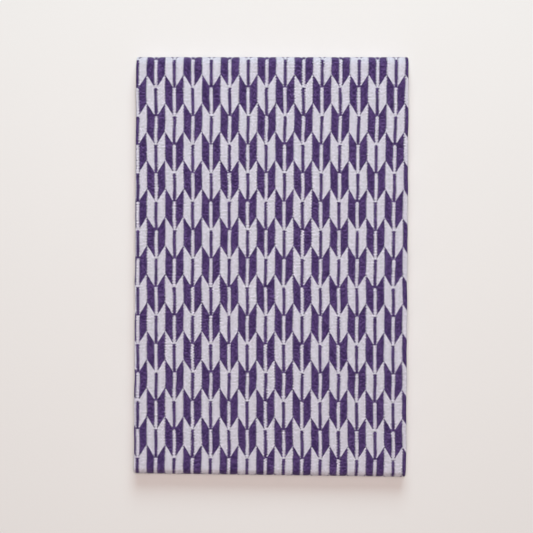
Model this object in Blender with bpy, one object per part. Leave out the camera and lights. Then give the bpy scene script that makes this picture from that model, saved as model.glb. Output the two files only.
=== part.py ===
"""A plain-woven cotton hand towel, folded flat for the shelf.

The real cloth is one length of cotton about 353 mm wide and 902 mm long. Its sides are
folded over its middle third, one over the other, which leaves a strip of three plies.
The strip is then rolled up flat into five panels of one folded length each, so that both
cut ends lie inside or underneath and every edge of the top panel is a fold.

The model is one solid: the strip, swept along the path of its flat roll. Metres, +Z up.
The origin is at the middle of the underside, +Y is the towel's long way, +X its width.
"""

import math
from typing import NamedTuple

import bmesh
import bpy

MM = 0.001

# The folded towel
FOLDED_LENGTH = 182 * MM  # from end fold to end fold, along Y
STRIP_WIDTH = 118 * MM  # from side fold to side fold, along X
LAYER = 1.4 * MM  # one layer of the strip, which is three plies of cloth
GAP = 0.3 * MM  # air between two layers
PITCH = LAYER + GAP

# The two cut ends
INNER_END_SHORT = 1.5 * MM  # the inner one stops this far before the bends round it
OUTER_END_PAST = 0.1 * MM  # the outer one shows this far past the front folds
CUT_ROUNDING = 0.3 * MM  # how far a cut end is rounded off
CUT_ROUNDING_ANGLES = (math.radians(30), math.radians(60))

# How finely the surface is divided
PANEL_STEPS = 12  # along each panel
ACROSS_STEPS = 9  # across the strip
SIDE_STEPS = 6  # round each side fold
BEND_STEP_LENGTH = 0.9 * MM  # along the outside of an end fold
LEAST_BEND_STEPS = 7
SHARP_ANGLE = math.radians(50)

# The cloth's mixed colour from a step away: violet print on white cotton
CLOTH_COLOUR = (0.243, 0.190, 0.326, 1.0)
CLOTH_ROUGHNESS = 0.92

FRONT, BACK = -1, 1  # the ends at -Y and +Y


class Panel(NamedTuple):
    """One length of the flat roll, from the inner cut end outwards."""

    level: int  # its place in the stack, counted from the surface up
    towards: int  # the end it runs to


class Turn(NamedTuple):
    """A cut end or an end fold of the strip, with how it strays from true, in mm."""

    end: int  # FRONT or BACK
    side: float  # the strip's shift to the right
    reach: float  # how much further out it lies
    skew: float  # how much further out its right side lies than its left


PANELS = (
    Panel(level=2, towards=FRONT),
    Panel(level=3, towards=BACK),
    Panel(level=1, towards=FRONT),
    Panel(level=4, towards=BACK),
    Panel(level=0, towards=FRONT),
)

# In the order of the strip: the inner cut end, the four end folds, the outer cut end
TURNS = (
    Turn(BACK, side=-0.30, reach=0.00, skew=0.50),
    Turn(FRONT, side=0.25, reach=-0.70, skew=-0.20),
    Turn(BACK, side=-0.35, reach=-0.80, skew=0.60),
    Turn(FRONT, side=0.05, reach=0.00, skew=0.75),
    Turn(BACK, side=-0.05, reach=0.00, skew=0.80),
    Turn(FRONT, side=0.30, reach=0.00, skew=0.55),
)


class Swell(NamedTuple):
    """A soft rise or dip in the stack, in mm, at full strength on the top panel."""

    x: float
    y: float
    height: float
    half_wide: float
    half_long: float


SWELLS = (
    Swell(x=-22, y=58, height=0.22, half_wide=42, half_long=30),
    Swell(x=34, y=22, height=-0.18, half_wide=30, half_long=44),
    Swell(x=-36, y=-18, height=-0.15, half_wide=26, half_long=40),
    Swell(x=14, y=-48, height=0.20, half_wide=48, half_long=26),
    Swell(x=55, y=-70, height=-0.25, half_wide=18, half_long=20),
    Swell(x=-57, y=84, height=-0.20, half_wide=16, half_long=16),
)

STACK_HEIGHT = len(PANELS) * PITCH - GAP


class Station(NamedTuple):
    """A place on the strip's centre line, seen from the side."""

    y: float
    z: float
    along: float  # the direction of travel, as the cosine towards +Y
    rise: float  # and as the sine towards +Z
    turn: float  # its place in TURNS, as a fraction between two rows
    pinch: float = 1.0  # the layer's thickness here, as a share


def level_height(panel):
    return LAYER / 2 + panel.level * PITCH


def bend_radius(first, second):
    return abs(first.level - second.level) * PITCH / 2


def bend_centre(end):
    """The Y of the bends' shared centre at one end, which puts the widest one at the end."""
    radii = [
        bend_radius(first, second)
        for first, second in zip(PANELS, PANELS[1:])
        if first.towards == end
    ]
    return end * (FOLDED_LENGTH / 2 - max(radii) - LAYER / 2)


def between_turns(turn, value_of):
    """A value of TURNS, in mm, at a fractional place between two of its rows."""
    row = min(int(turn), len(TURNS) - 2)
    before, after = value_of(TURNS[row]), value_of(TURNS[row + 1])
    return (before + (after - before) * (turn - row)) * MM


def panel_stations(index):
    """The straight run of a panel, between its two turns."""
    panel = PANELS[index]
    start = bend_centre(-panel.towards)
    stop = bend_centre(panel.towards)
    if index == 0:
        start -= math.copysign(INNER_END_SHORT, start)
    if index == len(PANELS) - 1:
        stop = panel.towards * (FOLDED_LENGTH / 2 + OUTER_END_PAST)
    return [
        Station(
            y=start + (stop - start) * step / PANEL_STEPS,
            z=level_height(panel),
            along=panel.towards,
            rise=0.0,
            turn=index + step / PANEL_STEPS,
        )
        for step in range(PANEL_STEPS + 1)
    ]


def bend_stations(index):
    """The half circle that joins a panel to the next, without its two ends."""
    first, second = PANELS[index], PANELS[index + 1]
    radius = bend_radius(first, second)
    climbs = 1 if second.level > first.level else -1
    middle = (level_height(first) + level_height(second)) / 2
    steps = max(LEAST_BEND_STEPS, round(math.pi * (radius + LAYER / 2) / BEND_STEP_LENGTH))
    stations = []
    for step in range(1, steps):
        angle = math.pi * step / steps
        stations.append(
            Station(
                y=bend_centre(first.towards) + first.towards * radius * math.sin(angle),
                z=middle - climbs * radius * math.cos(angle),
                along=first.towards * math.cos(angle),
                rise=climbs * math.sin(angle),
                turn=index + 1.0,
            )
        )
    return stations


def rounded_end(station, outwards):
    """The stations past a cut end, each thinner, so that the cut looks soft."""
    return [
        station._replace(
            y=station.y + outwards * CUT_ROUNDING * math.sin(angle),
            pinch=math.cos(angle),
        )
        for angle in CUT_ROUNDING_ANGLES
    ]


def strip_path():
    stations = []
    for index in range(len(PANELS)):
        stations += panel_stations(index)
        if index + 1 < len(PANELS):
            stations += bend_stations(index)
    first, last = stations[0], stations[-1]
    before = rounded_end(first, -PANELS[0].towards)
    after = rounded_end(last, PANELS[-1].towards)
    return before[::-1] + stations + after


def strip_profile():
    """The strip's cross-section as (across, out) points: flat, with half-round side folds."""
    flat_half = (STRIP_WIDTH - LAYER) / 2
    top = [
        (flat_half * (2 * step / ACROSS_STEPS - 1), LAYER / 2)
        for step in range(ACROSS_STEPS + 1)
    ]
    side = []
    for step in range(1, SIDE_STEPS):
        angle = math.pi * step / SIDE_STEPS
        side.append((flat_half + LAYER / 2 * math.sin(angle), LAYER / 2 * math.cos(angle)))
    half = top + side
    return half + [(-across, -out) for across, out in half]


def swell(x, y):
    """The height of the soft rises and dips over a place on the stack."""
    total = 0.0
    for row in SWELLS:
        sideways = (x / MM - row.x) / row.half_wide
        lengthways = (y / MM - row.y) / row.half_long
        total += row.height * math.exp(-(sideways**2) - lengthways**2)
    return total * MM


def placed(station, across, out):
    """A profile point at a station, with the strip's unevenness."""
    share = across / STRIP_WIDTH
    thick = out * station.pinch
    outward = between_turns(station.turn, lambda row: row.end * (row.reach + row.skew * share))
    x = across + between_turns(station.turn, lambda row: row.side)
    y = station.y - thick * station.rise + outward
    z = station.z + thick * station.along
    return x, y, z + swell(x, y) * z / STACK_HEIGHT


def sweep(mesh, stations, profile):
    """Skins the profile along the stations and closes both ends."""
    rings = [
        [mesh.verts.new(placed(station, across, out)) for across, out in profile]
        for station in stations
    ]
    count = len(profile)
    for ring, following in zip(rings, rings[1:]):
        for i in range(count):
            after = (i + 1) % count
            mesh.faces.new((ring[i], ring[after], following[after], following[i]))
    mesh.faces.new(rings[0][::-1])
    mesh.faces.new(rings[-1])
    bmesh.ops.recalc_face_normals(mesh, faces=mesh.faces)


def settle(mesh):
    """Puts the middle of the underside's box at the origin."""
    for axis in (0, 1):
        places = [vert.co[axis] for vert in mesh.verts]
        middle = (min(places) + max(places)) / 2
        for vert in mesh.verts:
            vert.co[axis] -= middle


def cotton():
    material = bpy.data.materials.new("printed_cotton")
    material.use_nodes = True
    shader = material.node_tree.nodes["Principled BSDF"]
    shader.inputs["Base Color"].default_value = CLOTH_COLOUR
    shader.inputs["Roughness"].default_value = CLOTH_ROUGHNESS
    shader.inputs["Metallic"].default_value = 0.0
    material.diffuse_color = CLOTH_COLOUR
    return material


def folded_towel():
    shape = bmesh.new()
    sweep(shape, strip_path(), strip_profile())
    settle(shape)
    data = bpy.data.meshes.new("folded_towel")
    shape.to_mesh(data)
    shape.free()
    data.shade_smooth()
    data.set_sharp_from_angle(angle=SHARP_ANGLE)
    towel = bpy.data.objects.new("folded_towel", data)
    towel.data.materials.append(cotton())
    bpy.context.scene.collection.objects.link(towel)


def main():
    for leftover in list(bpy.data.objects):
        bpy.data.objects.remove(leftover)
    folded_towel()


main()
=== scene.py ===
"""A printed cotton hand towel, folded flat: its cloth, its cut and woven edges, and a plain stage.

The cloth is one sheet, folded as the real one is. Its sides lie over its middle third, one
over the other, and the strip of three plies is rolled up flat in five panels. The stack's
places and its unevenness are those of the towel's solid. The arrow-feather print and the
weave follow the cloth's own coordinates round every fold.
"""

import math
from typing import NamedTuple

import bpy
import numpy as np
from bpy.props import FloatProperty, FloatVectorProperty, IntProperty, PointerProperty
from mathutils import Euler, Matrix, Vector


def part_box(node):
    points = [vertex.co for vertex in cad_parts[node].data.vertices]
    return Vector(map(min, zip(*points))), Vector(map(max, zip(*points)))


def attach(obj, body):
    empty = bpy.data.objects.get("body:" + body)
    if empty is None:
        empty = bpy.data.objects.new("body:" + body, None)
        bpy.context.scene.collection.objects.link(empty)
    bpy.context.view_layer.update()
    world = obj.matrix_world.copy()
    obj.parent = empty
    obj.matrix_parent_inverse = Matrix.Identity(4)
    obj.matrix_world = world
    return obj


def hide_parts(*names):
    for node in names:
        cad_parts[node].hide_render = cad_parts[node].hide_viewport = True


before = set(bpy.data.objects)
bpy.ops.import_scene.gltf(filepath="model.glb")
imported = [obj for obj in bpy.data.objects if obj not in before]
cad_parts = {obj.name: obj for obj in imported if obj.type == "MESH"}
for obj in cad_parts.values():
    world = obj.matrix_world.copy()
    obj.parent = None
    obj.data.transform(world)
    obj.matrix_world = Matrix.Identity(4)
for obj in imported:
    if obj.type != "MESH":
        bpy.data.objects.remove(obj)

bl_info = {
    "name": "Folded Print Towel",
    "version": (1, 0, 0),
    "blender": (4, 5, 0),
    "location": "View3D > Sidebar > Towel",
    "description": "Builds a folded cotton towel with an arrow-feather print, and its stage",
    "category": "Add Mesh",
}

MM = 0.001
SOLID = "folded_towel"
BODY = "root"
STACK_LOW, STACK_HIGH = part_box(SOLID)

FRONT, BACK = -1, 1  # the ends at -Y and +Y


class Panel(NamedTuple):
    """One length of the flat roll, from the inner cut end outwards."""

    level: int  # its place in the stack, counted from the surface up
    towards: int  # the end it runs to
    steps: int  # how finely its cloth is divided along it


class Turn(NamedTuple):
    """A cut end or an end fold of the strip, with how it strays from true, in mm."""

    end: int
    side: float  # the strip's shift to the right
    reach: float  # how much further out it lies
    skew: float  # how much further out its right side lies than its left


class Drift(NamedTuple):
    """How the print lies across the strip at a place along it, in mm."""

    turn: float  # the place, as a fraction between two rows of TURNS
    stem: float  # where the first stem lies, from the strip's middle
    pitch: float  # from one stem to the next


class Swell(NamedTuple):
    """A soft rise or dip in the stack, in mm, at full strength on the top panel."""

    x: float
    y: float
    height: float
    half_wide: float
    half_long: float


class Ridge(NamedTuple):
    """A soft crease in the top panel, in mm: a ridge, or a trough where its height is negative."""

    x: float
    y: float
    heading: float  # in degrees from +X
    half_length: float
    half_width: float
    height: float


PANELS = (
    Panel(level=2, towards=FRONT, steps=28),
    Panel(level=3, towards=BACK, steps=28),
    Panel(level=1, towards=FRONT, steps=28),
    Panel(level=4, towards=BACK, steps=130),
    Panel(level=0, towards=FRONT, steps=64),
)

# In the order of the strip: the inner cut end, the four end folds, the outer cut end
TURNS = (
    Turn(BACK, side=-0.30, reach=0.00, skew=0.50),
    Turn(FRONT, side=0.25, reach=-0.70, skew=-0.20),
    Turn(BACK, side=-0.35, reach=-0.80, skew=0.60),
    Turn(FRONT, side=0.05, reach=0.00, skew=0.75),
    Turn(BACK, side=-0.05, reach=0.00, skew=0.80),
    Turn(FRONT, side=0.30, reach=0.00, skew=0.55),
)

DRIFTS = (
    Drift(turn=0.00, stem=-58.00, pitch=7.970),
    Drift(turn=1.00, stem=-57.60, pitch=7.950),
    Drift(turn=2.00, stem=-58.30, pitch=8.000),
    Drift(turn=3.00, stem=-57.37, pitch=7.910),
    Drift(turn=3.20, stem=-57.42, pitch=7.892),
    Drift(turn=3.35, stem=-57.60, pitch=7.896),
    Drift(turn=3.65, stem=-57.90, pitch=7.918),
    Drift(turn=3.82, stem=-58.21, pitch=7.960),
    Drift(turn=4.00, stem=-58.52, pitch=8.010),
    Drift(turn=5.00, stem=-57.50, pitch=7.940),
)

SWELLS = (
    Swell(x=-22, y=58, height=0.22, half_wide=42, half_long=30),
    Swell(x=34, y=22, height=-0.18, half_wide=30, half_long=44),
    Swell(x=-36, y=-18, height=-0.15, half_wide=26, half_long=40),
    Swell(x=14, y=-48, height=0.20, half_wide=48, half_long=26),
    Swell(x=55, y=-70, height=-0.25, half_wide=18, half_long=20),
    Swell(x=-57, y=84, height=-0.20, half_wide=16, half_long=16),
)

# The first two are the edges of what lies under the top panel, the rest are small puckers
RIDGES = (
    Ridge(x=0, y=84.5, heading=0, half_length=90, half_width=1.1, height=-0.10),
    Ridge(x=0, y=-85.0, heading=0, half_length=90, half_width=1.3, height=-0.08),
    Ridge(x=-38, y=30, heading=82, half_length=26, half_width=2.2, height=0.07),
    Ridge(x=47, y=38, heading=66, half_length=15, half_width=1.8, height=0.08),
    Ridge(x=50, y=-32, heading=112, half_length=14, half_width=1.6, height=-0.08),
    Ridge(x=20, y=-66, heading=15, half_length=24, half_width=2.4, height=0.06),
    Ridge(x=-12, y=-12, heading=-8, half_length=34, half_width=2.8, height=0.05),
    Ridge(x=-50, y=-62, heading=74, half_length=16, half_width=1.8, height=-0.07),
    Ridge(x=8, y=66, heading=4, half_length=30, half_width=2.6, height=-0.05),
)


def length_setting(name, description, millimetres):
    return FloatProperty(
        name=name, description=description, default=millimetres * MM, min=0, unit="LENGTH"
    )


def colour_setting(name, description, red_green_blue):
    return FloatVectorProperty(
        name=name, description=description, default=red_green_blue, min=0, max=1, subtype="COLOR"
    )


class ClothSettings(bpy.types.PropertyGroup):
    """The cloth and how it is folded."""

    folded_length: length_setting("Folded length", "From end fold to end fold", 182)
    folded_width: length_setting("Folded width", "From side fold to side fold", 118)
    layer: length_setting("Layer", "Height of three plies of the strip", 1.4)
    gap: length_setting("Gap", "Air between two layers", 0.3)
    thickness: length_setting("Cloth thickness", "One ply of cloth", 0.38)
    warp_pitch: length_setting("Warp pitch", "From one lengthways thread to the next", 0.52)
    weft_pitch: length_setting("Weft pitch", "From one crossways thread to the next", 0.60)
    cotton: colour_setting("Cotton", "Unprinted cloth", (0.690, 0.656, 0.740))


class PrintSettings(bpy.types.PropertyGroup):
    """The arrow-feather print."""

    row_pitch: length_setting("Row pitch", "From one row of arrows to the next", 12.36)
    first_row: length_setting("First row", "From the top panel's back fold to its first row", 13.75)
    stem: length_setting("Stem width", "The arrow's stem", 1.34)
    slant: length_setting("Feather slant", "How much earlier a feather ends at its outer side", 5.35)
    lead: length_setting("Feather lead", "How far before the stem the feather's inner tip ends", 0.5)
    weft_slope: FloatProperty(
        name="Weft slope", description="How steeply the rows climb to the right", default=0.002
    )
    weft_bow: length_setting("Weft bow", "How far the rows sink towards the side folds", 0.2)
    wick: length_setting("Wick", "How far the violet spreads along the weft", 0.20)
    violet: colour_setting("Violet", "The print's main colour", (0.122, 0.067, 0.222))
    deep_violet: colour_setting("Deep violet", "The print where it took best", (0.035, 0.014, 0.086))


class EdgeSettings(bpy.types.PropertyGroup):
    """The frayed cut end and the woven side edge."""

    fray_length: length_setting("Fray length", "Loose thread ends are 0.25 to 2.2 times this long", 0.35)
    fray_thickness: length_setting("Thread thickness", "One loose thread end", 0.17)
    fray_curl: length_setting("Fray curl", "How far a loose thread end bends at its tip", 0.35)
    seed: IntProperty(name="Seed", description="Another seed frays it another way", default=7)


class StageSettings(bpy.types.PropertyGroup):
    """The floor, the light and the camera."""

    floor: colour_setting("Floor", "The pale floor", (0.845, 0.810, 0.786))
    key: FloatProperty(
        name="Key light", description="Cool light from the back", default=6.6, min=0, unit="POWER"
    )
    ceiling: FloatProperty(
        name="Ceiling light", description="Warm light from above", default=4.85, min=0, unit="POWER"
    )
    sky: FloatProperty(
        name="Sky light", description="Strength of the warm light from all round", default=0.15, min=0
    )
    lens: FloatProperty(
        name="Lens", description="The camera's focal length", default=85, min=10, unit="CAMERA"
    )


# The folded cloth


class Line(NamedTuple):
    """Points along a path, as arrays: the strip's centre line seen from the side."""

    y: np.ndarray
    z: np.ndarray
    along: np.ndarray  # the direction of travel, as the cosine towards +Y
    rise: np.ndarray  # and as the sine towards +Z
    turn: np.ndarray  # the place in TURNS, as a fraction between two rows


class Section(NamedTuple):
    """Points across the cloth, as arrays: the three plies seen from the end."""

    across: np.ndarray
    out: np.ndarray
    facing_across: np.ndarray  # the way that the cloth's printed side faces
    facing_out: np.ndarray
    share: np.ndarray  # of the free ply that runs to the selvedge under the left fold


class Wave(NamedTuple):
    """One of the waves that a fold's edge wavers in, its sizes in mm."""

    height: float
    length: float
    phase: float


FOLD_WAVES = (
    Wave(height=0.07, length=31.0, phase=0.4),
    Wave(height=0.05, length=17.0, phase=2.1),
    Wave(height=0.03, length=9.5, phase=4.4),
)
PHASE_STEP = 3.4  # from one panel to the next

INNER_END_SHORT = 1.5 * MM  # the inner cut end stops this far before the bends round it
OUTER_END_PAST = 0.1 * MM  # the outer one shows this far past the front folds
SELVEDGE_INSET = 0.9 * MM  # where the lower flap ends, from the left fold
SELVEDGE_STRAY = 0.45 * MM
SELVEDGE_WAVE = 23 * MM  # the length of its wave, over 2 pi
SELVEDGE_PHASE_STEP = 2.3  # from one panel to the next
HIDDEN_SELVEDGE_INSET = 1.6 * MM  # where the upper flap ends, inside the right fold
MOST_MISFIT = 1.0 * MM  # between the cloth's box and the solid's

# How finely the sheet is divided
BEND_STEP = 0.55 * MM  # along the outside of an end fold
LEAST_BEND_STEPS = 8
FLAP_STEPS = 7
TIGHT_FOLD_STEPS = 8
MIDDLE_STEPS = 64
MIDDLE_CROWD = 1.6
FULL_FOLD_STEPS = 10


def bend_radius(first, second, pitch):
    return abs(first.level - second.level) * pitch / 2


def bend_centre(cloth, end):
    """The Y of the bends' shared centre at one end."""
    radii = [
        bend_radius(first, second, cloth.layer + cloth.gap)
        for first, second in zip(PANELS, PANELS[1:])
        if first.towards == end
    ]
    return end * (cloth.folded_length / 2 - max(radii) - cloth.layer / 2)


def panel_line(cloth, index):
    """The straight run of a panel."""
    panel = PANELS[index]
    start = bend_centre(cloth, -panel.towards)
    stop = bend_centre(cloth, panel.towards)
    if index == 0:
        start -= math.copysign(INNER_END_SHORT, start)
    if index == len(PANELS) - 1:
        stop = panel.towards * (cloth.folded_length / 2 + OUTER_END_PAST)
    share = np.linspace(0, 1, panel.steps + 1)
    height = cloth.layer / 2 + panel.level * (cloth.layer + cloth.gap)
    return Line(
        y=start + (stop - start) * share,
        z=np.full_like(share, height),
        along=np.full_like(share, panel.towards),
        rise=np.zeros_like(share),
        turn=index + share,
    )


def bend_line(cloth, index):
    """The half circle that joins a panel to the next, without its two ends."""
    first, second = PANELS[index], PANELS[index + 1]
    pitch = cloth.layer + cloth.gap
    radius = bend_radius(first, second, pitch)
    climbs = 1 if second.level > first.level else -1
    middle = cloth.layer / 2 + (first.level + second.level) / 2 * pitch
    steps = max(LEAST_BEND_STEPS, round(math.pi * (radius + cloth.layer / 2) / BEND_STEP))
    angle = np.pi * np.arange(1, steps) / steps
    return Line(
        y=bend_centre(cloth, first.towards) + first.towards * radius * np.sin(angle),
        z=middle - climbs * radius * np.cos(angle),
        along=first.towards * np.cos(angle),
        rise=climbs * np.sin(angle),
        turn=np.full_like(angle, index + 1.0),
    )


def roll_line(cloth):
    """The whole strip's centre line, from the inner cut end to the outer one."""
    runs = []
    for index in range(len(PANELS)):
        runs.append(panel_line(cloth, index))
        if index + 1 < len(PANELS):
            runs.append(bend_line(cloth, index))
    return Line(*(np.concatenate(column) for column in zip(*runs)))


def ply_spacing(cloth):
    return (cloth.layer - cloth.thickness) / 2


def straight(start, stop, out, facing, steps, crowd=1.0):
    """A flat run of a ply, its points crowded towards both ends."""
    share = np.linspace(0, 1, steps + 1)
    eased = 0.5 - 0.5 * np.cos(np.pi * share)
    share = share + (eased - share) * (1 - 1 / crowd)
    return (
        start + (stop - start) * share,
        np.full_like(share, out),
        np.zeros_like(share),
        np.full_like(share, facing),
    )


def half_circle(centre, out, radius, side, steps):
    """A side fold without its two ends, bulging to the side given as -1 or +1."""
    angle = np.pi * np.arange(1, steps) / steps
    facing_across = side * np.sin(angle)
    facing_out = side * np.cos(angle)
    return (
        centre + radius * facing_across,
        out + radius * facing_out,
        facing_across,
        facing_out,
    )


def cloth_section(cloth):
    """The cloth's way across the strip: upper flap, left fold, middle, right fold, lower flap."""
    spacing = ply_spacing(cloth)
    half = cloth.folded_width / 2
    left = -half + spacing / 2 + cloth.thickness / 2
    right = half - spacing - cloth.thickness / 2
    runs = (
        straight(half - HIDDEN_SELVEDGE_INSET, left, 0, -1, FLAP_STEPS),
        half_circle(left, spacing / 2, spacing / 2, -1, TIGHT_FOLD_STEPS),
        straight(left, right, spacing, 1, MIDDLE_STEPS, crowd=MIDDLE_CROWD),
        half_circle(right, 0, spacing, 1, FULL_FOLD_STEPS),
        straight(right, -half + SELVEDGE_INSET, -spacing, -1, FLAP_STEPS),
    )
    columns = [np.concatenate(column) for column in zip(*runs)]
    share = np.zeros(len(columns[0]))
    share[-len(runs[-1][0]) :] = np.linspace(0, 1, len(runs[-1][0]))
    return Section(*columns, share)


def lengths(first, second):
    """Distances run along a line of points."""
    return np.concatenate([[0], np.cumsum(np.hypot(np.diff(first), np.diff(second)))])


def between_turns(turn, column):
    return np.interp(turn, np.arange(len(TURNS)), column) * MM


def drifted(turn, column):
    return (np.interp(turn, [row.turn for row in DRIFTS], column) * MM)[:, None]


def stack_rise(cloth, x, y):
    """The height of the soft rises, dips and creases over a place on the stack."""
    total = np.zeros_like(x)
    for row in SWELLS:
        sideways = (x / MM - row.x) / row.half_wide
        lengthways = (y / MM - row.y) / row.half_long
        total += row.height * np.exp(-(sideways**2) - lengthways**2)
    for row in RIDGES:
        heading = math.radians(row.heading)
        dx, dy = x / MM - row.x, y / MM - row.y
        lengthways = (dx * math.cos(heading) + dy * math.sin(heading)) / row.half_length
        sideways = (dy * math.cos(heading) - dx * math.sin(heading)) / row.half_width
        total += row.height * np.exp(-(sideways**2) - lengthways**4)
    return total * MM


def fold_waver(line):
    """How a side fold's edge wavers, along its length and from one panel to the next."""
    total = np.zeros_like(line.y)
    for wave in FOLD_WAVES:
        angle = 2 * np.pi * line.y / (wave.length * MM) + wave.phase + PHASE_STEP * line.turn
        total += wave.height * np.sin(angle)
    return total * MM


def placed(cloth, line, section, depth):
    """Where the cloth's points lie, a row for each point of the line, at a depth from its middle."""
    stray = SELVEDGE_STRAY * np.sin(line.y / SELVEDGE_WAVE + SELVEDGE_PHASE_STEP * line.turn)
    across = section.across + depth * section.facing_across
    across = across[None, :] + stray[:, None] * section.share[None, :]
    out = (section.out + depth * section.facing_out)[None, :]
    share = across / cloth.folded_width
    ends = np.array([row.end for row in TURNS])
    reach = between_turns(line.turn, ends * [row.reach for row in TURNS])
    skew = between_turns(line.turn, ends * [row.skew for row in TURNS])
    side = between_turns(line.turn, [row.side for row in TURNS]) + fold_waver(line)
    x = across + side[:, None]
    y = line.y[:, None] - out * line.rise[:, None] + reach[:, None] + skew[:, None] * share
    z = line.z[:, None] + out * line.along[:, None]
    height = len(PANELS) * (cloth.layer + cloth.gap) - cloth.gap
    return np.stack([x, y, z + stack_rise(cloth, x, y) * z / height], axis=-1)


def sheet_faces(rows, columns):
    """Quads for a closed sheet: its printed side, its reverse, and the rim that joins them."""
    index = np.arange(rows * columns).reshape(rows, columns)
    a, b = index[:-1, :-1].ravel(), index[1:, :-1].ravel()
    c, d = index[1:, 1:].ravel(), index[:-1, 1:].ravel()
    back = rows * columns
    printed = np.stack([a, d, c, b], axis=1)
    reverse = np.stack([a, b, c, d], axis=1) + back
    rim = np.concatenate([index[0, :], index[1:, -1], index[-1, -2::-1], index[-2:0:-1, 0]])
    following = np.roll(rim, -1)
    joined = np.stack([following, rim, rim + back, following + back], axis=1)
    return np.concatenate([printed, reverse, joined])


def mesh_object(name, points, edges=(), faces=()):
    data = bpy.data.meshes.new(name)
    data.from_pydata(*(np.asarray(rows).tolist() for rows in (points, edges, faces)))
    data.update()
    made = bpy.data.objects.new(name, data)
    bpy.context.scene.collection.objects.link(made)
    return made


def store(data, name, values):
    """Keeps a vector for each point of a mesh, which its material reads."""
    layer = data.attributes.new(name, "FLOAT_VECTOR", "POINT")
    layer.data.foreach_set("vector", values.astype(np.float32).ravel())


class Patch(NamedTuple):
    """A part of the cloth's grid and the rectangle that it fills on the map for baking."""

    rows: slice
    columns: slice
    left: float
    bottom: float
    right: float
    top: float


TOP_PANEL = max(range(len(PANELS)), key=lambda index: PANELS[index].level)
SIDE_STRIP = (0.665, 0.998)  # the map's strip for all but the part that shows from above


def bake_patches(line, section):
    """The printed side's patches: the part that shows from above comes first and is the largest."""
    near = 1e-6
    shows = slice(*np.searchsorted(line.turn, (TOP_PANEL - near, TOP_PANEL + 1 + near)))
    folds = np.flatnonzero(np.abs(section.facing_across) > 0)
    outside = slice(folds[0] - 1, folds[-1] + 2)
    rows, columns = len(line.y), len(section.across)
    everything = slice(0, rows)
    left, right = SIDE_STRIP
    return (
        Patch(shows, outside, left=0.002, bottom=0.002, right=0.655, top=0.998),
        Patch(slice(shows.stop - 1, rows), outside, left, 0.002, right, 0.500),
        Patch(slice(0, shows.start + 1), outside, left, 0.510, right, 0.740),
        Patch(everything, slice(0, outside.start + 1), left, 0.750, 0.828, 0.860),
        Patch(everything, slice(outside.stop - 1, columns), 0.837, 0.750, right, 0.860),
    )


def bake_map(line, section):
    """Where each face corner of the sheet lies on the map, in the order of its faces."""
    rows, columns = len(line.y), len(section.across)
    along, across = lengths(line.y, line.z), lengths(section.across, section.out)
    printed = np.zeros((rows - 1, columns - 1, 4, 2))
    left, right = SIDE_STRIP
    whole = Patch(slice(0, rows), slice(0, columns), left, 0.870, right, 0.960)
    reverse = patch_corners(whole, along, across, (0, 1, 2, 3))
    for patch in bake_patches(line, section):
        face_rows = slice(patch.rows.start, patch.rows.stop - 1)
        face_columns = slice(patch.columns.start, patch.columns.stop - 1)
        printed[face_rows, face_columns] = patch_corners(patch, along, across, (0, 3, 2, 1))
    count = 2 * (rows + columns) - 4
    edges = np.linspace(left, right, count + 1)
    start, stop = edges[:-1], edges[1:]
    low, high = np.full(count, 0.970), np.full(count, 0.998)
    rim = np.stack([stop, low, start, low, start, high, stop, high], axis=1)
    return np.concatenate([printed.ravel(), reverse.ravel(), rim.ravel()])


def patch_corners(patch, along, across, order):
    """The corners of a patch's faces, spaced as on the cloth."""
    u = spaced(across[patch.columns], patch.left, patch.right)
    v = spaced(along[patch.rows], patch.bottom, patch.top)
    u, v = np.meshgrid(u, v)
    grid = np.stack([u, v], axis=-1)
    corners = (grid[:-1, :-1], grid[1:, :-1], grid[1:, 1:], grid[:-1, 1:])
    return np.stack([corners[i] for i in order], axis=2)


def spaced(places, start, stop):
    share = (places - places[0]) / (places[-1] - places[0])
    return start + (stop - start) * share


def cloth_places(cloth, line, section):
    """The flat cloth's own coordinates over the grid: from a selvedge, and from the inner end."""
    spacing = ply_spacing(cloth)
    across = lengths(section.across, section.out)
    along = lengths(line.y - spacing * line.rise, line.z + spacing * line.along)
    return np.meshgrid(across, along)


def print_places(cloth, pattern, line, section):
    """The print's coordinates over the grid: columns from its first stem, rows towards the front."""
    across, along = cloth_places(cloth, line, section)
    middle = np.argmin(np.abs(section.across) + (section.out <= 0))
    from_middle = across - across[0, middle] + section.across[middle]
    stem = drifted(line.turn, [row.stem for row in DRIFTS])
    pitch = drifted(line.turn, [row.pitch for row in DRIFTS])
    on_top = (line.turn >= TOP_PANEL) & (line.turn <= TOP_PANEL + 1) & (line.rise == 0)
    first_row = np.interp(
        cloth.folded_length / 2 - pattern.first_row, line.y[on_top], along[on_top, 0]
    )
    bow = pattern.weft_bow * (from_middle / (cloth.folded_width / 2)) ** 2
    down = first_row + pattern.weft_slope * from_middle - bow - along
    return (from_middle - stem) / pitch, down / pattern.row_pitch


def sheet_points(cloth, line, section):
    """The points of the sheet's printed side, then those of its reverse."""
    half = cloth.thickness / 2
    sides = [placed(cloth, line, section, depth).reshape(-1, 3) for depth in (half, -half)]
    return np.concatenate(sides)


def resting_shift(cloth, line, section):
    """How far the fold's own frame lies from the towel's solid, which stands on the surface."""
    points = sheet_points(cloth, line, section)
    low, high = points.min(axis=0), points.max(axis=0)
    solid_low, solid_high = np.array(STACK_LOW), np.array(STACK_HIGH)
    misfit = np.abs((high - low) - (solid_high - solid_low)).max()
    if misfit > MOST_MISFIT:
        raise ValueError(f"the folded cloth misses its solid's size by {misfit / MM:.2f} mm")
    shift = (solid_low + solid_high - low - high) / 2
    shift[2] = solid_low[2] - low[2]
    return shift


# The printed cotton

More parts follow.
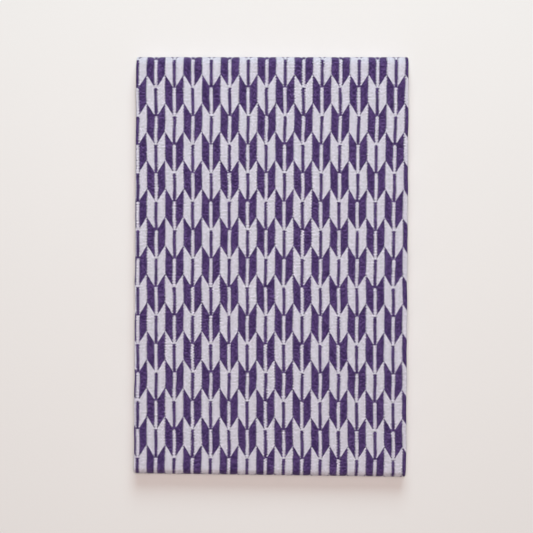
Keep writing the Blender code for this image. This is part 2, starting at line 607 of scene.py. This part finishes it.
COLUMN_PITCH = 7.95 * MM  # the print's usual one, for the widths of its parts
PRINT_STRAY = 0.07 * MM  # how far the print strays on a thread
MOST_RAGGED = 0.35 * MM  # how raggedly it spreads along the weft, at the most
NET_BLEED = 0.05 * MM  # and how far it spreads on the whole
THREAD_WAVER = 0.15  # how far a thread strays, as a share of its pitch
REVERSE_DYE = 0.5  # how much of the print's colour comes through to the reverse
RELIEF = 0.10 * MM  # from between the threads to their crowns
FUZZ_RELIEF = 0.35  # how much of that the fuzz adds
ROUND_CROWN = 0.45  # below 1, a thread keeps its height close to its ends

# How strongly each unevenness shows in the dye, from 0 for the deepest violet to 1
DYE_LEVEL = -0.92
DYE_BLOTCHES = 1.4
DYE_STREAKS = 1.15
DYE_GRAIN = 0.75

# And in the cloth's lightness, as shares: painted shade between the threads and a painted highlight on
# their crowns, and tone that differs in streaks, from crossing to crossing and between upper warp and
# weft threads
PAINTED_SHADE_BETWEEN_THREADS = 0.54
PAINTED_LIGHT_TO_CROWN = 0.64
SHADE_STREAKS = 0.24
SHADE_GRAIN = 0.22
SHADE_WARP = 0.08
LENGTHWAYS_SHARE = 0.7  # of the streaks that run along the warp, the rest lie across


class NodeTree:
    """Adds nodes to a tree and joins them."""

    def __init__(self, tree):
        self.tree = tree

    def node(self, kind, inputs=(), **settings):
        made = self.tree.nodes.new(kind)
        for name, value in settings.items():
            setattr(made, name, value)
        for name, value in dict(inputs).items():
            self.put(made.inputs[name], value)
        return made

    def put(self, socket, value):
        if isinstance(value, bpy.types.NodeSocket):
            self.tree.links.new(value, socket)
        else:
            socket.default_value = value

    def math(self, operation, *values, clamp=False):
        made = self.node("ShaderNodeMath", operation=operation, use_clamp=clamp)
        for socket, value in zip(made.inputs, values):
            self.put(socket, value)
        return made.outputs[0]


class Shading(NodeTree):
    """A material's tree."""

    def __init__(self, material):
        material.use_nodes = True
        super().__init__(material.node_tree)
        self.shader = self.tree.nodes["Principled BSDF"]

    def mix(self, share, first, second, blend="MIX"):
        made = self.node("ShaderNodeMix", data_type="RGBA", blend_type=blend)
        self.put(made.inputs["Factor"], share)
        self.put(made.inputs["A"], first)
        self.put(made.inputs["B"], second)
        return made.outputs["Result"]

    def noise(self, place, scale, detail=2.0, rough=0.5):
        made = self.node(
            "ShaderNodeTexNoise",
            {"Vector": place, "Scale": scale, "Detail": detail, "Roughness": rough},
        )
        return made.outputs["Fac"]

    def streaks(self, place, wide, long, detail=2.0):
        """Noise whose blotches have the sizes given, across and along the cloth."""
        scale = (1 / wide, 1 / long, 1)
        stretched = self.node("ShaderNodeMapping", {"Vector": place, "Scale": scale})
        return self.noise(stretched.outputs["Vector"], 1.0, detail)

    def random(self, first, second):
        """A random value for each pair of whole numbers."""
        pair = self.node("ShaderNodeCombineXYZ", {"X": first, "Y": second})
        made = self.node(
            "ShaderNodeTexWhiteNoise", {"Vector": pair.outputs["Vector"]}, noise_dimensions="2D"
        )
        return made.outputs["Value"]

    def spread(self, value, about, reach):
        """Maps 0 to 1 onto a range about a value."""
        return self.math("MULTIPLY_ADD", value, 2 * reach, about - reach)

    def split(self, attribute):
        place = self.node("ShaderNodeAttribute", attribute_name=attribute).outputs["Vector"]
        return place, self.node("ShaderNodeSeparateXYZ", {"Vector": place}).outputs

    def finish(self, colour, height, distance):
        bump = self.node(
            "ShaderNodeBump", {"Height": height, "Distance": distance, "Strength": 1.0}
        )
        self.put(self.shader.inputs["Base Color"], colour)
        self.put(self.shader.inputs["Normal"], bump.outputs["Normal"])


def colour4(colour, share=1.0):
    return (*(channel * share for channel in colour), 1.0)


def weave(s, place, across, along, cloth):
    """The threads under a point of the cloth, as coordinates and numbers, and if the warp is up."""
    waver = s.spread(s.streaks(place, 4 * MM, 4 * MM), 0, THREAD_WAVER)
    warp = s.math("ADD", s.math("DIVIDE", across, cloth.warp_pitch), waver)
    weft = s.math("ADD", s.math("DIVIDE", along, cloth.weft_pitch), waver)
    warp_number, weft_number = s.math("FLOOR", warp), s.math("FLOOR", weft)
    warp_up = s.math("FLOORED_MODULO", s.math("ADD", warp_number, weft_number), 2.0)
    return warp, weft, warp_number, weft_number, warp_up


def woven_height(s, warp, weft, warp_up):
    """How high the upper thread stands, from 0 between the threads to 1 on its crown."""
    warp_crown = s.math("ABSOLUTE", s.math("SINE", s.math("MULTIPLY", warp, math.pi)))
    weft_crown = s.math("ABSOLUTE", s.math("SINE", s.math("MULTIPLY", weft, math.pi)))
    warp_height = s.math("MULTIPLY", warp_crown, s.math("POWER", weft_crown, ROUND_CROWN))
    weft_height = s.math("MULTIPLY", s.math("POWER", warp_crown, ROUND_CROWN), weft_crown)
    weft_up = s.math("SUBTRACT", 1.0, warp_up)
    return s.math("MULTIPLY_ADD", warp_height, warp_up, s.math("MULTIPLY", weft_height, weft_up))


def arrow_feathers(s, column, row, weft_number, ragged, pattern):
    """1 where the print is violet: stems, and feathers in V-shaped rows, swapped from cell to cell.

    Along every upright edge the violet runs further on every second weft thread, and by the
    ragged value everywhere.
    """

    def grown_by(edge, kind):
        first = s.math("ROUND", s.random(edge, kind))
        longer = s.math("FLOORED_MODULO", s.math("ADD", weft_number, first), 2.0)
        return s.math("ADD", s.spread(longer, 0, pattern.wick / COLUMN_PITCH), ragged)

    number = s.math("FLOOR", s.math("ADD", column, 0.5))
    aside = s.math("ABSOLUTE", s.math("SUBTRACT", column, number))
    stem_grown = grown_by(s.math("FLOOR", s.math("MULTIPLY", column, 2.0)), 1.0)
    feather_grown = grown_by(s.math("FLOOR", column), 2.0)
    stem_half = pattern.stem / COLUMN_PITCH / 2
    spread = s.math("DIVIDE", s.math("SUBTRACT", aside, stem_half), 0.5 - stem_half, clamp=True)
    early = s.math(
        "MULTIPLY_ADD", spread, pattern.slant / pattern.row_pitch, pattern.lead / pattern.row_pitch
    )
    stem_cell = s.math("ADD", number, s.math("FLOOR", row))
    feather_cell = s.math("ADD", number, s.math("FLOOR", s.math("ADD", row, early)))
    stem_dark = s.math("FLOORED_MODULO", stem_cell, 2.0)
    feather_dark = s.math("SUBTRACT", 1.0, s.math("FLOORED_MODULO", feather_cell, 2.0))
    stem_edge = s.math("MULTIPLY_ADD", s.spread(stem_dark, 0, 1), stem_grown, stem_half)
    in_stem = s.math("LESS_THAN", aside, stem_edge)
    outer_edge = s.math("MULTIPLY_ADD", s.spread(feather_dark, 0, 1), feather_grown, 0.5)
    past_edge = s.math("GREATER_THAN", aside, outer_edge)
    feather = s.math("ABSOLUTE", s.math("SUBTRACT", feather_dark, past_edge))
    stem = s.math("MULTIPLY", stem_dark, in_stem)
    return s.math("MULTIPLY_ADD", feather, s.math("SUBTRACT", 1.0, in_stem), stem)


def printed_cotton(cloth, pattern):
    """Plain-woven cotton with the print, paler on its reverse."""
    material = bpy.data.materials.new("printed_cotton_weave")
    s = Shading(material)
    place, (across, along, reverse) = s.split("cloth_at")
    _, (column, row, _) = s.split("print_at")
    warp, weft, warp_number, weft_number, warp_up = weave(s, place, across, along, cloth)
    chance = s.random(warp_number, weft_number)
    next_chance = s.random(warp_number, s.math("ADD", weft_number, 1.0))
    grain = s.math("SUBTRACT", chance, next_chance)

    column = s.math("ADD", column, s.spread(chance, 0, PRINT_STRAY / COLUMN_PITCH))
    uneven_edge = s.streaks(place, 2 * MM, 3 * MM, 3.0)
    ragged = s.spread(uneven_edge, NET_BLEED / COLUMN_PITCH, MOST_RAGGED / COLUMN_PITCH)
    dark = arrow_feathers(s, column, row, weft_number, ragged, pattern)

    lengthways = s.streaks(place, 0.8 * MM, 8 * MM)
    crossways = s.streaks(place, 9 * MM, 0.8 * MM)
    crossways_part = s.math("MULTIPLY", crossways, 1 - LENGTHWAYS_SHARE)
    uneven = s.math("MULTIPLY_ADD", lengthways, LENGTHWAYS_SHARE, crossways_part)
    blotches = s.streaks(place, 2.2 * MM, 5 * MM, 4.0)
    dye = s.math("MULTIPLY_ADD", uneven, DYE_STREAKS, DYE_LEVEL)
    dye = s.math("MULTIPLY_ADD", blotches, DYE_BLOTCHES, dye)
    dye = s.math("MULTIPLY_ADD", grain, DYE_GRAIN, dye, clamp=True)
    violet = s.mix(dye, colour4(pattern.deep_violet), colour4(pattern.violet))
    taken = s.math("MULTIPLY", dark, s.math("MULTIPLY_ADD", reverse, REVERSE_DYE - 1, 1.0))
    printed = s.mix(taken, colour4(cloth.cotton), violet)

    height = woven_height(s, warp, weft, warp_up)
    fuzz = s.streaks(place, 0.10 * MM, 0.14 * MM)
    height = s.math("MULTIPLY_ADD", fuzz, FUZZ_RELIEF, height)
    # Painted shade: darker between the threads and lighter on their crowns, by the threads' height with
    # the fuzz; streaks and grain vary the tone, and upper warp threads are lighter than upper weft
    # threads
    painted_shade_and_tone = s.math("MULTIPLY_ADD", height, PAINTED_LIGHT_TO_CROWN, PAINTED_SHADE_BETWEEN_THREADS)
    painted_shade_and_tone = s.math("MULTIPLY", painted_shade_and_tone, s.spread(uneven, 1.0, SHADE_STREAKS))
    painted_shade_and_tone = s.math("MULTIPLY", painted_shade_and_tone, s.math("MULTIPLY_ADD", grain, SHADE_GRAIN, 1.0))
    painted_shade_and_tone = s.math("MULTIPLY", painted_shade_and_tone, s.spread(warp_up, 1.0, SHADE_WARP))
    s.finish(s.mix(1.0, printed, painted_shade_and_tone, blend="MULTIPLY"), height, RELIEF)
    s.shader.inputs["Roughness"].default_value = 0.9
    s.shader.inputs["Specular IOR Level"].default_value = 0.25
    s.shader.inputs["Sheen Weight"].default_value = 0.12
    s.shader.inputs["Sheen Roughness"].default_value = 0.5
    return material


# Loose threads

END_SIDES = 5
END_POINTS = 4
END_LENGTHS = (0.25, 2.2)  # the shortest and the longest, as shares of the fray length
CURL_SCALE = 1400.0
CURL_CENTRE = (0.5, 0.5, 0.42)  # the last is under 0.5, so the ends curl up more than down

# How far the thread ends are turned about X, Y and Z, in radians: they point to the front
LEAN_LOW = (math.radians(60), -0.2, math.radians(-28))
LEAN_HIGH = (math.radians(93), 0.2, math.radians(28))


class ThreadTree(NodeTree):
    """A Geometry Nodes tree with named inputs."""

    def __init__(self, name, inputs):
        super().__init__(bpy.data.node_groups.new(name, "GeometryNodeTree"))
        face = self.tree.interface
        face.new_socket("Geometry", in_out="INPUT", socket_type="NodeSocketGeometry")
        self.identifiers = {
            label: face.new_socket(label, in_out="INPUT", socket_type=kind).identifier
            for label, kind in inputs.items()
        }
        face.new_socket("Geometry", in_out="OUTPUT", socket_type="NodeSocketGeometry")
        self.given = self.tree.nodes.new("NodeGroupInput").outputs

    def finish(self, instances, after=None):
        """Ends the tree in real geometry with the material on it."""
        realized = self.node("GeometryNodeRealizeInstances", {"Geometry": instances})
        real = realized.outputs["Geometry"]
        if after:
            real = after(real)
        dressed = self.node(
            "GeometryNodeSetMaterial", {"Geometry": real, "Material": self.given["Material"]}
        )
        self.node("NodeGroupOutput", {"Geometry": dressed.outputs["Geometry"]})
        return self


def grown(name, tree, source, values):
    """Runs a tree on a source object and keeps what it makes as a plain mesh of its own."""
    modifier = source.modifiers.new(name, "NODES")
    modifier.node_group = tree.tree
    for label, value in values.items():
        modifier[tree.identifiers[label]] = value
    graph = bpy.context.evaluated_depsgraph_get()
    data = bpy.data.meshes.new_from_object(source.evaluated_get(graph), depsgraph=graph)
    data.name = name
    source.modifiers.remove(modifier)
    bpy.data.objects.remove(source)
    if not data.polygons:
        raise ValueError(f"{name} came out empty")
    made = bpy.data.objects.new(name, data)
    bpy.context.scene.collection.objects.link(made)
    data.shade_smooth()
    return made


def thread_end_tree():
    """A loose thread end on each point, sticking out towards the front and curling a little."""
    t = ThreadTree(
        "Thread ends",
        {
            "Length": "NodeSocketFloat",
            "Thickness": "NodeSocketFloat",
            "Curl": "NodeSocketFloat",
            "Seed": "NodeSocketInt",
            "Material": "NodeSocketMaterial",
        },
    )
    spine = t.node("GeometryNodeCurvePrimitiveLine", {"End": (0.0, 0.0, 1.0)})
    divided = t.node(
        "GeometryNodeResampleCurve", {"Curve": spine.outputs["Curve"], "Count": END_POINTS}
    )
    outline = t.node("GeometryNodeCurvePrimitiveCircle", {"Resolution": END_SIDES, "Radius": 0.5})
    tube = t.node(
        "GeometryNodeCurveToMesh",
        {
            "Curve": divided.outputs["Curve"],
            "Profile Curve": outline.outputs["Curve"],
            "Fill Caps": True,
        },
    )
    place = t.node("GeometryNodeInputPosition").outputs["Position"]
    height = t.node("ShaderNodeSeparateXYZ", {"Vector": place}).outputs["Z"]
    marked = t.node(
        "GeometryNodeStoreNamedAttribute",
        {"Geometry": tube.outputs["Mesh"], "Name": "from_root", "Value": height},
        data_type="FLOAT",
        domain="POINT",
    )
    shortest, longest = END_LENGTHS
    stretch = t.node(
        "FunctionNodeRandomValue",
        {"Min": shortest, "Max": longest, "Seed": t.given["Seed"]},
        data_type="FLOAT",
    )
    reach = t.math("MULTIPLY", stretch.outputs["Value"], t.given["Length"])
    size = t.node(
        "ShaderNodeCombineXYZ", {"X": t.given["Thickness"], "Y": t.given["Thickness"], "Z": reach}
    )
    lean = t.node(
        "FunctionNodeRandomValue",
        {"Min": LEAN_LOW, "Max": LEAN_HIGH, "Seed": t.given["Seed"]},
        data_type="FLOAT_VECTOR",
    )
    ends = t.node(
        "GeometryNodeInstanceOnPoints",
        {
            "Points": t.given["Geometry"],
            "Instance": marked.outputs["Geometry"],
            "Rotation": lean.outputs["Value"],
            "Scale": size.outputs["Vector"],
        },
    )
    return t.finish(ends.outputs["Instances"], after=lambda real: curled(t, real))


def curled(t, real):
    """Bends each thread end more and more towards its tip."""
    from_root = t.node(
        "GeometryNodeInputNamedAttribute", {"Name": "from_root"}, data_type="FLOAT"
    )
    place = t.node("GeometryNodeInputPosition").outputs["Position"]
    cloud = t.node("ShaderNodeTexNoise", {"Vector": place, "Scale": CURL_SCALE, "Detail": 1.0})
    centred = t.node(
        "ShaderNodeVectorMath", {0: cloud.outputs["Color"], 1: CURL_CENTRE}, operation="SUBTRACT"
    )
    strength = t.math("MULTIPLY", from_root.outputs["Attribute"], t.given["Curl"])
    bend = t.node(
        "ShaderNodeVectorMath",
        {0: centred.outputs["Vector"], "Scale": strength},
        operation="SCALE",
    )
    moved = t.node(
        "GeometryNodeSetPosition", {"Geometry": real, "Offset": bend.outputs["Vector"]}
    )
    return moved.outputs["Geometry"]


TURN_SHARES = (0.75, 0.85, 1.6)  # a bead's width and height in thicknesses, its length in pitches


def weft_turn_tree():
    """A small bead on every second thread of the side edge, where the weft turns back."""
    t = ThreadTree(
        "Weft turns",
        {
            "Spacing": "NodeSocketFloat",
            "Bead": "NodeSocketVector",
            "Material": "NodeSocketMaterial",
        },
    )
    edge = t.node("GeometryNodeMeshToCurve", {"Mesh": t.given["Geometry"]})
    spaced = t.node(
        "GeometryNodeCurveToPoints",
        {"Curve": edge.outputs["Curve"], "Length": t.given["Spacing"]},
        mode="LENGTH",
    )
    bead = t.node("GeometryNodeMeshUVSphere", {"Segments": 6, "Rings": 4, "Radius": 0.5})
    beads = t.node(
        "GeometryNodeInstanceOnPoints",
        {
            "Points": spaced.outputs["Points"],
            "Instance": bead.outputs["Mesh"],
            "Rotation": spaced.outputs["Rotation"],
            "Scale": t.given["Bead"],
        },
    )
    return t.finish(beads.outputs["Instances"])


# Operators


def settings_of(context):
    scene = context.scene
    return scene.towel_cloth, scene.towel_print, scene.towel_edges, scene.towel_stage


def belongs(piece):
    """Puts a piece on the towel's body."""
    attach(piece, BODY)


def cotton_material(cloth, pattern):
    return bpy.data.materials.get("printed_cotton_weave") or printed_cotton(cloth, pattern)


def cut_end_points(cloth, pattern, line, section):
    """A point for each warp thread at the outer cut end, with its places on cloth and print."""
    across = lengths(section.across, section.out)
    threads = np.arange(cloth.warp_pitch / 2, across[-1], cloth.warp_pitch)
    ends = Section(*(np.interp(threads, across, column) for column in section))
    last = Line(*(column[-1:] for column in line))
    points = placed(cloth, last, ends, 0.0)[0]
    places, printed = point_places(cloth, pattern, line, section)
    picked = [
        np.stack([np.interp(threads, across, grid[-1, :, axis]) for axis in range(3)], axis=1)
        for grid in (places, printed)
    ]
    return points, picked


def point_places(cloth, pattern, line, section, side=0.0):
    """The cloth's and the print's coordinates over the grid, as the material reads them."""
    across, along = cloth_places(cloth, line, section)
    column, row = print_places(cloth, pattern, line, section)
    blank = np.zeros_like(across)
    on_cloth = np.stack([across, along, blank + side], axis=-1)
    return on_cloth, np.stack([column, row, blank], axis=-1)


class TOWEL_OT_fray_cut_end(bpy.types.Operator):
    """Frays the outer cut end: a short loose end for each warp thread of its three plies"""

    bl_idname = "towel.fray_cut_end"
    bl_label = "Fray the cut end"

    def execute(self, context):
        cloth, pattern, edges, _ = settings_of(context)
        line, section = roll_line(cloth), cloth_section(cloth)
        points, (places, printed) = cut_end_points(cloth, pattern, line, section)
        points = points + resting_shift(cloth, line, section)
        source = mesh_object("cut_end_points", points)
        store(source.data, "cloth_at", places)
        store(source.data, "print_at", printed)
        fray = grown(
            "cut_end_fray",
            thread_end_tree(),
            source,
            {
                "Length": edges.fray_length,
                "Thickness": edges.fray_thickness,
                "Curl": edges.fray_curl,
                "Seed": edges.seed,
                "Material": cotton_material(cloth, pattern),
            },
        )
        belongs(fray)
        return {"FINISHED"}


class TOWEL_OT_turn_selvedge(bpy.types.Operator):
    """Turns the weft back along the woven side edge that shows under the left fold"""

    bl_idname = "towel.turn_selvedge"
    bl_label = "Turn the selvedge"

    def execute(self, context):
        cloth, pattern, _, _ = settings_of(context)
        line, section = roll_line(cloth), cloth_section(cloth)
        edge = Section(*(column[-1:] for column in section))
        points = placed(cloth, line, edge, 0.0)[:, 0] + resting_shift(cloth, line, section)
        order = np.arange(len(points))
        pairs = np.stack([order[:-1], order[1:]], axis=1)
        source = mesh_object("selvedge_line", points, edges=pairs)
        places, printed = point_places(cloth, pattern, line, section)
        store(source.data, "cloth_at", places[:, -1])
        store(source.data, "print_at", printed[:, -1])
        wide, high, long = TURN_SHARES
        turns = grown(
            "selvedge_turns",
            weft_turn_tree(),
            source,
            {
                "Spacing": 2 * cloth.weft_pitch,
                "Bead": (wide * cloth.thickness, high * cloth.thickness, long * cloth.weft_pitch),
                "Material": cotton_material(cloth, pattern),
            },
        )
        belongs(turns)
        return {"FINISHED"}


class TOWEL_OT_fold_cloth(bpy.types.Operator):
    """Builds the folded cloth in the place of its solid"""

    bl_idname = "towel.fold_cloth"
    bl_label = "Fold the cloth"

    def execute(self, context):
        cloth, pattern, _, _ = settings_of(context)
        line, section = roll_line(cloth), cloth_section(cloth)
        points = sheet_points(cloth, line, section) + resting_shift(cloth, line, section)
        faces = sheet_faces(len(line.y), len(section.across))
        towel = mesh_object("towel_cloth", points, faces=faces)
        grids = [point_places(cloth, pattern, line, section, side) for side in (0.0, 1.0)]
        for name, sides in zip(("cloth_at", "print_at"), zip(*grids)):
            store(towel.data, name, np.concatenate([grid.reshape(-1, 3) for grid in sides]))
        layer = towel.data.uv_layers.new(name="OFBake")
        layer.uv.foreach_set("vector", bake_map(line, section).astype(np.float32))
        towel.data.shade_smooth()
        towel.data.materials.append(cotton_material(cloth, pattern))
        belongs(towel)
        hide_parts(SOLID)
        return {"FINISHED"}


# The stage

PHOTO_SIDE = 533  # the picture's width and height in pixels
TOWEL_PIXELS = 272.7  # the folded towel's width in it
TOWEL_CENTRE = (271.2, 265.9)  # and its middle, from the top left
TOWEL_TURN = math.radians(0.40)  # how far it lies turned clockwise
SENSOR = 36.0  # millimetres
FLOOR_HALF = 3.0  # metres


class Light(NamedTuple):
    """A round light that faces the towel: its place and width, and its colour."""

    place: tuple
    width: float
    colour: tuple


WARM_WHITE = (1.0, 0.878, 0.842)
KEY = Light(place=(0.04, 0.80, 0.60), width=0.60, colour=(0.72, 0.936, 1.0))
CEILING = Light(place=(0.0, 0.03, 0.90), width=0.36, colour=WARM_WHITE)


def floor_material(colour):
    """A smooth pale board with the faintest unevenness."""
    material = bpy.data.materials.new("pale_floor")
    s = Shading(material)
    place = s.node("ShaderNodeTexCoord").outputs["Object"]
    cloud = s.noise(place, 9.0, 3.0, 0.55)
    tone = s.mix(cloud, colour4(colour, 0.985), colour4(colour, 1.01))
    s.finish(tone, s.noise(place, 900.0), 0.02 * MM)
    s.shader.inputs["Roughness"].default_value = 0.75
    s.shader.inputs["Specular IOR Level"].default_value = 0.2
    return material


def area_light(name, light, power):
    data = bpy.data.lights.new(name, "AREA")
    data.shape = "DISK"
    data.size = light.width
    data.energy = power
    data.color = light.colour
    made = bpy.data.objects.new(name, data)
    made.location = light.place
    made.rotation_euler = (-Vector(light.place)).to_track_quat("-Z", "Y").to_euler()
    bpy.context.scene.collection.objects.link(made)


def soft_sky(strength):
    world = bpy.data.worlds.new("soft_sky")
    world.use_nodes = True
    sky = world.node_tree.nodes["Background"]
    sky.inputs["Color"].default_value = colour4(WARM_WHITE)
    sky.inputs["Strength"].default_value = strength
    return world


def overhead_camera(cloth, lens):
    """A camera straight above, which gives the towel its size, place and turn in the picture."""
    data = bpy.data.cameras.new("camera")
    data.lens = lens
    data.sensor_width = SENSOR
    made = bpy.data.objects.new("camera", data)
    pixel = cloth.folded_width / TOWEL_PIXELS
    distance = PHOTO_SIDE * pixel * lens / SENSOR
    turn = Euler((0, 0, TOWEL_TURN))
    right, down = TOWEL_CENTRE
    aside = Vector((right - PHOTO_SIDE / 2, PHOTO_SIDE / 2 - down, 0)) * pixel
    aside.rotate(turn)
    middle = (STACK_LOW + STACK_HIGH) / 2
    made.location = Vector((middle.x, middle.y, STACK_HIGH.z + distance)) - aside
    made.rotation_euler = turn
    bpy.context.scene.collection.objects.link(made)
    bpy.context.scene.camera = made


class TOWEL_OT_set_stage(bpy.types.Operator):
    """Lays the floor and sets the soft light and the camera"""

    bl_idname = "towel.set_stage"
    bl_label = "Set the stage"

    def execute(self, context):
        cloth, _, _, stage = settings_of(context)
        corners = np.array([(-1, -1, 0), (1, -1, 0), (1, 1, 0), (-1, 1, 0)]) * FLOOR_HALF
        floor = mesh_object("floor", corners, faces=[(0, 1, 2, 3)])
        floor.data.materials.append(floor_material(stage.floor))
        area_light("key", KEY, stage.key)
        area_light("ceiling", CEILING, stage.ceiling)
        context.scene.world = soft_sky(stage.sky)
        context.scene.view_settings.view_transform = "Standard"
        overhead_camera(cloth, stage.lens)
        return {"FINISHED"}


class TOWEL_PT_pieces(bpy.types.Panel):
    """The towel's pieces and their sizes"""

    bl_idname = "TOWEL_PT_pieces"
    bl_label = "Folded towel"
    bl_space_type = "VIEW_3D"
    bl_region_type = "UI"
    bl_category = "Towel"

    def draw(self, context):
        for label, settings, operators in (
            ("Cloth", context.scene.towel_cloth, ("towel.fold_cloth",)),
            ("Print", context.scene.towel_print, ()),
            ("Edges", context.scene.towel_edges, ("towel.fray_cut_end", "towel.turn_selvedge")),
            ("Stage", context.scene.towel_stage, ("towel.set_stage",)),
        ):
            box = self.layout.box()
            box.label(text=label)
            for name in settings.__annotations__:
                box.prop(settings, name)
            for operator in operators:
                box.operator(operator)


SETTINGS = {
    "towel_cloth": ClothSettings,
    "towel_print": PrintSettings,
    "towel_edges": EdgeSettings,
    "towel_stage": StageSettings,
}
CLASSES = (
    *SETTINGS.values(),
    TOWEL_OT_fray_cut_end,
    TOWEL_OT_turn_selvedge,
    TOWEL_OT_fold_cloth,
    TOWEL_OT_set_stage,
    TOWEL_PT_pieces,
)


def register():
    for made in CLASSES:
        bpy.utils.register_class(made)
    for name, group in SETTINGS.items():
        setattr(bpy.types.Scene, name, PointerProperty(type=group))


def unregister():
    for name in SETTINGS:
        delattr(bpy.types.Scene, name)
    for made in reversed(CLASSES):
        bpy.utils.unregister_class(made)


def main():
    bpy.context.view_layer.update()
    register()
    bpy.ops.towel.fray_cut_end()
    bpy.ops.towel.turn_selvedge()
    bpy.ops.towel.fold_cloth()
    bpy.ops.towel.set_stage()


if __name__ == "__main__":
    main()
